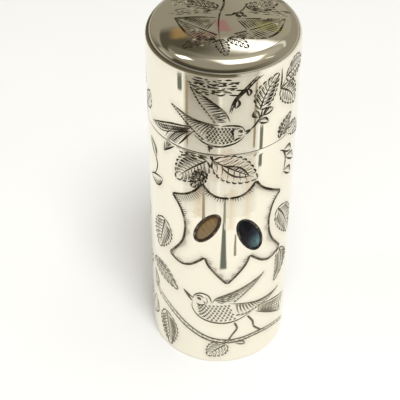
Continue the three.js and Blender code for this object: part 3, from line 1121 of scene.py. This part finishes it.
def rim_piece(side, metal):
    """A narrow rounded band round a stone, following the wall, with its inner side going down to the seat."""
    opening = STONE_OPENINGS[side]
    outer, inner = RIM_BURNISH, FIT_GAP + STONE_RIM_WIDTH
    outer_top, band_low, band_rise, inner_top = RADIUS - 0.03, RADIUS - 0.02, 0.07, RADIUS - 0.05
    section = [(outer, INNER_RADIUS), (outer, outer_top)]
    for share in np.linspace(0, 1, 7):
        section.append((outer + (inner - outer) * share, band_low + band_rise * math.sin(math.pi * share)))
    section += [(inner, inner_top), (inner, STONE_BACK)]
    points, faces = [], []
    for inset, radius in section:
        angle, height = oval_on_wall(opening, inset, radius)
        points.append(on_case(angle, radius, height))
    for i in range(len(section)):
        faces += ring_faces(i * OVAL_STEPS, (i + 1) % len(section) * OVAL_STEPS, OVAL_STEPS)
    return smooth_piece(f"stone_rim_{side}_band", np.vstack(points), faces, metal)


def stone_piece(side, stone_material):
    """A low domed stone that follows the wall's curve a little, with a flat back."""
    opening = STONE_OPENINGS[side]
    inset = FIT_GAP + STONE_RIM_WIDTH + STONE_GAP
    shrink = [1.0, 1.0, 0.985, 0.95, 0.9, 0.83, 0.75, 0.65, 0.54, 0.42, 0.3, 0.18, 0.08]
    points, faces, shares = [], [], []
    for i, share in enumerate(shrink):
        rise = 0.0 if i == 0 else (STONE_CROWN - STONE_GIRDLE) * math.sqrt(1 - share**2)
        radius = STONE_BACK if i == 0 else STONE_GIRDLE + rise
        arc, height, half_length, half_width, lean = opening
        scaled = (arc, height, (half_length - inset) * share, (half_width - inset) * share, lean)
        angle, up = oval_on_wall(scaled, 0.0, radius)
        points.append(on_case(angle, radius, up))
        shares += [share] * OVAL_STEPS
    for i in range(len(shrink) - 1):
        faces += ring_faces(i * OVAL_STEPS, (i + 1) * OVAL_STEPS, OVAL_STEPS)
    last = (len(shrink) - 1) * OVAL_STEPS
    faces.append(tuple(range(last, last + OVAL_STEPS)))
    faces.append(tuple(range(OVAL_STEPS - 1, -1, -1)))
    piece = smooth_piece(f"stone_{side}_cabochon", np.vstack(points), faces, stone_material)
    layer = piece.data.attributes.new("from_middle", "FLOAT", "POINT")
    layer.data.foreach_set("value", shares)
    return piece


def smooth_piece(name, points, faces, material):
    """A smooth-shaded object, with sharp edges kept, from points in millimetres."""
    mesh = bpy.data.meshes.new(name)
    mesh.from_pydata([tuple(p * MM) for p in points], [], faces)
    mesh.polygons.foreach_set("use_smooth", [True] * len(faces))
    mesh.set_sharp_from_angle(angle=SHARP_EDGE)
    mesh.materials.append(material)
    return linked(name, mesh)


def needle_case():
    """Builds every piece, with the body it rides on, the CAD node it replaces and its material slot."""
    metals = [polished_silver(), engraved_line()]
    walls = wall_cuts() + side_cuts()
    tops = placed(top_cuts(), (0, 0), turn=TOP_TURN)
    brown_rim = rim_silver("brown_rim", (0.06, 0.038, 0.02))
    black_rim = rim_silver("black_rim", (0.02, 0.018, 0.018))
    for piece, body, node, slot in (
        (body_piece(walls, metals), "body", "body_tube", "silver_outside"),
        (cap_piece(walls, tops, metals), "cap", "cap_shell", "silver_outside"),
        (base_piece(metals[PLAIN]), "body", "base_disc", "silver_outside"),
        (sleeve_piece(inner_silver()), "body", "inner_sleeve", "silver_inside"),
        (rim_piece("left", brown_rim), "body", "stone_rim_left", "darkened_silver"),
        (rim_piece("right", black_rim), "body", "stone_rim_right", "darkened_silver"),
        (stone_piece("left", tan_agate()), "body", "stone_left", "tan_stone"),
        (stone_piece("right", dark_abalone()), "body", "stone_right", "dark_blue_stone"),
    ):
        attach(piece, body)
        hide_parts(node)


# ---------------------------------------------------------------- floor, light and camera

def floor():
    """The plain floor that the case stands on."""
    bpy.ops.mesh.primitive_plane_add(size=FLOOR_SIZE, location=(0, 0, 0))
    plane = bpy.context.object
    plane.name = "floor"
    plane.data.materials.append(pale_floor())


def area_light(name, place, width, power):
    """A square light that faces the foot of the case and doesn't show in the silver."""
    light = bpy.data.lights.new(name, "AREA")
    light.shape = "RECTANGLE"
    light.size = light.size_y = width
    light.energy = power
    obj = linked(name, light)
    obj.location = place
    obj.rotation_euler = (Vector(LIGHT_TARGET) - Vector(place)).to_track_quat("-Z", "Y").to_euler()
    obj.visible_glossy = False


def hidden_card(name, points, faces, material):
    """A card that shows only in reflections."""
    mesh = bpy.data.meshes.new(name)
    mesh.from_pydata([tuple(p) for p in points], [], faces)
    mesh.materials.append(material)
    obj = linked(name, mesh)
    obj.visible_camera = obj.visible_diffuse = obj.visible_shadow = False
    return obj


def shade_material():
    """Dark ground, darker farther off, with painted shadow that starts a little way off: near and thin in
    front, farther out and full on the left.
    """
    shader = Shader("dark_ground_and_shadow", 0.9)
    parts = shader.parts(shader.place)
    distance = shader.node("ShaderNodeVectorMath", {0: shader.place}, operation="LENGTH").outputs["Value"]
    share = shader.ramp(distance, 0.15, 0.7, 0, 0.75)
    # Each part, a patch of painted shadow: azimuth, how squarely a place faces it, from none to full, its
    # distance, and its strength.
    for azimuth, square, reach, strength in (
        (-75, (-0.25, 0.1), (0.085, 0.125), 1.0),
        (-36, (0.885, 0.925), (0.040, 0.081), 0.68),
        (18, (0.865, 0.92), (0.034, 0.070), 0.33),
        (-8, (0.585, 0.65), (0.083, 0.090), 0.5),
    ):
        facing = shader.ramp(shader.toward(parts["X"], parts["Y"], distance, azimuth), *square)
        part = shader.times(facing, shader.ramp(distance, *reach, 0, strength))
        share = shader.maths("MAXIMUM", share, part)
    colour = shader.mix(shader.ramp(distance, 0.12, 0.3), rgb(0.125, 0.106, 0.062), rgb(0.07, 0.063, 0.048))
    return shader.finish(base_color=colour, alpha=share)


def dark_ground_and_shadow():
    """A flat ring just above the floor, round the case, that darkens the ground in its reflections: painted
    shadow near the case, and darker ground farther off.
    """
    angles = np.radians(np.linspace(0, 360, GROUND_STEPS, endpoint=False))
    points = np.vstack([on_case(angles, radius, GROUND_LIFT) for radius in GROUND_RADII])
    hidden_card("dark_ground_and_shadow", points, ring_faces(0, GROUND_STEPS, GROUND_STEPS), shade_material())


def mirrored_on_floor(arc, height):
    """The place on the floor that the camera sees in the wall at an arc and height."""
    eye = np.array(eye_place()) / MM
    normal = around(np.array([arc / RADIUS]))[0]
    point = normal * RADIUS + np.array([0, 0, height])
    ray = (point - eye) / np.linalg.norm(point - eye)
    ray -= 2 * (ray @ normal) * normal
    return (point - ray * (height - STRIP_LIFT) / ray[2]) * MM


def streak(name, arc, low, high, low_width, high_width, colour, strength=1.0, soft=0.2):
    """A strip on the floor whose reflection stands as a line on the wall, from one height to another.

    It fades out towards its long sides over a share `soft` of its width, and a little at its ends.
    """
    shader = Shader(name, 0.8)
    cover = shader.times(shader.attribute("cover"), strength)
    darker = [0.8 * part for part in colour]
    base = shader.mix(shader.noise(300.0), rgb(*colour), rgb(*darker))
    shader.finish(base_color=base, alpha=cover)
    points, covers = [], []
    for up, end_cover in ((0.0, 0.0), (0.04, 1.0), (0.94, 1.0), (1.0, 0.0)):
        width = low_width + (high_width - low_width) * up
        for share, side_cover in ((0.0, 0.0), (soft, 1.0), (1.0 - soft, 1.0), (1.0, 0.0)):
            points.append(mirrored_on_floor(arc + (share - 0.5) * width, low + (high - low) * up))
            covers.append(end_cover * side_cover)
    faces = [(k, k + 1, k + 5, k + 4) for k in range(11) if k % 4 != 3]
    card = hidden_card(name, points, faces, shader.material)
    card.data.attributes.new("cover", "FLOAT", "POINT").data.foreach_set("value", covers)


def streaks():
    """Thin things lying in front of the case, which stand in its wall as upright lines."""
    teal, grey, brown = (0.14, 0.165, 0.145), (0.27, 0.27, 0.22), (0.33, 0.26, 0.17)
    streak("line_middle", -0.66, 21.3, 31.6, 1.35, 0.55, teal)
    streak("line_middle_upper", -0.62, 31.0, 36.6, 0.5, 0.4, grey)
    streak("line_right_of_middle", 1.08, 24.2, 28.8, 0.5, 0.3, grey)
    streak("line_left_of_middle", -3.75, 30.8, 37.0, 0.6, 0.4, grey)
    streak("line_right", 4.5, 40.6, 48.4, 0.7, 0.6, teal)
    streak("line_right_upper", 3.4, 44.6, 56.8, 0.4, 0.4, brown)
    streak("line_far_left", -7.4, 53.8, 56.8, 0.9, 0.9, teal)
    streak("line_left_upper", -6.3, 44.8, 56.8, 0.4, 0.4, brown)

    # Wide, faint tints.
    tan, rose = (0.62, 0.48, 0.26), (0.66, 0.44, 0.34)
    streak("tint_left", -4.4, 31.6, 38.4, 2.8, 3.2, tan, 0.42, 0.45)
    streak("tint_middle", 0.3, 29.6, 38.0, 1.9, 2.1, tan, 0.3, 0.45)
    streak("tint_right", 2.7, 30.8, 44.0, 1.6, 2.2, tan, 0.26, 0.45)
    streak("tint_above", -0.5, 39.6, 45.2, 5.6, 5.6, rose, 0.28, 0.4)


class Sky(Nodes):
    """The room round the case, painted on the world by direction: soft patches over an even grey.

    A patch is given on a level ceiling one unit above the case, X and Y as the case has them.
    """

    def __init__(self, colour):
        world = bpy.data.worlds.new("room")
        bpy.context.scene.world = world
        super().__init__(world)
        self.colour = self.node("ShaderNodeRGB").outputs[0]
        self.colour.default_value = rgb(*colour)
        direction = self.node("ShaderNodeTexCoord").outputs["Generated"]
        parts = self.parts(direction)
        height = self.maths("MAXIMUM", parts["Z"], LOWEST_SKY)
        self.x = self.maths("DIVIDE", parts["X"], height)
        self.y = self.maths("DIVIDE", parts["Y"], height)

    def fade(self, value, start, end):
        """1 up to `start`, falling to 0 at `end`."""
        return self.node("ShaderNodeMapRange", {0: value, 1: start, 2: end, 3: 1.0, 4: 0.0},
                         interpolation_type="SMOOTHSTEP").outputs[0]

    def patch(self, centre, half_size, turn, soft, colour, strength=1.0):
        """Paints a soft-edged rectangle of the ceiling, turned by `turn` degrees."""
        cosine, sine = math.cos(math.radians(turn)), math.sin(math.radians(turn))
        x = self.maths("SUBTRACT", self.x, centre[0])
        y = self.maths("SUBTRACT", self.y, centre[1])
        along = self.maths("ADD", self.times(x, cosine), self.times(y, sine))
        across = self.maths("SUBTRACT", self.times(y, cosine), self.times(x, sine))
        inside = [self.fade(self.maths("ABSOLUTE", offset), half - soft, half + soft)
                  for offset, half in zip((along, across), half_size)]
        self.paint(self.times(*inside, strength), colour)

    def side(self, azimuth, reach, full_below, none_above, colour, none_below=-90):
        """Paints a low part of the room: `reach` degrees to each side of an azimuth from the front."""
        squares = [self.maths("POWER", value, 2) for value in (self.x, self.y)]
        flat = self.maths("SQRT", self.maths("ADD", *squares))
        apart = self.maths("ARCCOSINE", self.toward(self.x, self.y, flat, azimuth))
        raised = self.maths("ARCTANGENT", self.maths("DIVIDE", 1.0, flat))
        share = self.times(self.fade(apart, math.radians(reach * 0.7), math.radians(reach * 1.3)),
                           self.fade(raised, math.radians(full_below), math.radians(none_above)))
        if none_below > 0:
            lower = self.fade(raised, math.radians(none_below), math.radians(none_below + 5))
            share = self.times(share, self.maths("SUBTRACT", 1.0, lower))
        self.paint(share, colour)

    def paint(self, share, colour):
        self.colour = self.mix(share, self.colour, rgb(*colour))

    def finish(self, seen):
        """The camera sees a plain pale room where it looks over the floor's edge."""
        direct = self.node("ShaderNodeLightPath").outputs["Is Camera Ray"]
        self.paint(direct, seen)
        self.feed(self.colour, self.tree.nodes["Background"].inputs["Color"])


def surroundings():
    """A grey room with broken ceiling lights, a window behind on the right, and dark sides in front."""
    sky = Sky((0.30, 0.28, 0.225))
    # Low down: dark in front and on the left.
    sky.side(-10, 75, 24, 40, (0.17, 0.155, 0.115))
    sky.side(-45, 75, 20, 32, (0.055, 0.05, 0.038))
    sky.side(-115, 40, 2, 12, (0.06, 0.053, 0.042))
    sky.side(-96, 14, 22, 30, (0.42, 0.39, 0.31), 9)
    # A pale strip just above the horizon, all round, and greyer in front on the left.
    sky.side(0, 300, 4, 6.5, (0.46, 0.437, 0.37))
    sky.side(-52, 36, 4.2, 6.7, (0.26, 0.247, 0.21))
    # Higher up: dark behind on the left, a pale ceiling on the right.
    sky.patch((-0.35, 0.55), (0.50, 0.38), 10, 0.15, (0.15, 0.138, 0.11))
    sky.patch((-0.72, 0.82), (0.82, 0.23), 26, 0.08, (0.085, 0.076, 0.056))
    sky.patch((0.45, 0.22), (0.55, 0.50), -20, 0.25, (0.46, 0.43, 0.36))
    sky.patch((0.52, 1.62), (0.24, 0.50), 0, 0.14, (0.37, 0.345, 0.28))
    # Coloured things behind the case.
    sky.patch((-0.06, 1.27), (0.035, 0.09), 0, 0.025, (0.36, 0.24, 0.10), 0.8)
    sky.patch((0.04, 1.18), (0.05, 0.06), 0, 0.02, (0.30, 0.17, 0.15), 0.8)
    sky.patch((0.145, 1.35), (0.03, 0.11), 0, 0.015, (0.34, 0.17, 0.17), 0.85)
    sky.patch((0.37, 1.38), (0.07, 0.10), 0, 0.03, (0.36, 0.34, 0.13), 0.7)
    # Lights.
    sky.patch((-0.82, -0.05), (0.25, 0.12), 0, 0.07, (2.6, 2.6, 2.6))
    sky.patch((0.26, -0.08), (0.30, 0.28), 10, 0.12, (2.0, 2.0, 1.95))
    sky.patch((1.05, -0.22), (0.20, 0.05), 5, 0.05, (1.2, 1.2, 1.1))
    sky.patch((0.265, 1.04), (0.125, 0.065), 0, 0.05, (2.0, 2.0, 2.0))
    sky.patch((0.86, 0.68), (0.50, 0.06), -29, 0.04, (0.75, 0.75, 0.70))
    sky.finish((0.86, 0.865, 0.865))


def eye_place():
    return Matrix.Rotation(-VIEW_TURN, 4, "Z") @ Vector((VIEW_SIDE, -VIEW_DISTANCE, VIEW_HEIGHT))


def camera():
    """Stands in front of the case, a little to its left, and looks down at it."""
    data = bpy.data.cameras.new("camera")
    data.lens = CAMERA_LENS
    data.clip_start = 0.001
    obj = linked("camera", data)
    look = Matrix.Rotation(-VIEW_TURN, 4, "Z") @ Matrix.Rotation(math.pi / 2 - VIEW_PITCH, 4, "X")
    look = look @ Matrix.Rotation(VIEW_ROLL, 4, "Z")
    obj.matrix_world = Matrix.Translation(eye_place()) @ look
    bpy.context.scene.camera = obj


needle_case()
floor()
surroundings()
area_light("key", (0.06, -0.32, 0.73), 0.30, 4.9)
area_light("fill", (-0.20, -0.60, 0.76), 0.50, 0.6)
dark_ground_and_shadow()
streaks()
camera()
bpy.context.scene.view_settings.view_transform = "Standard"
bpy.context.scene.cycles.use_denoising = True
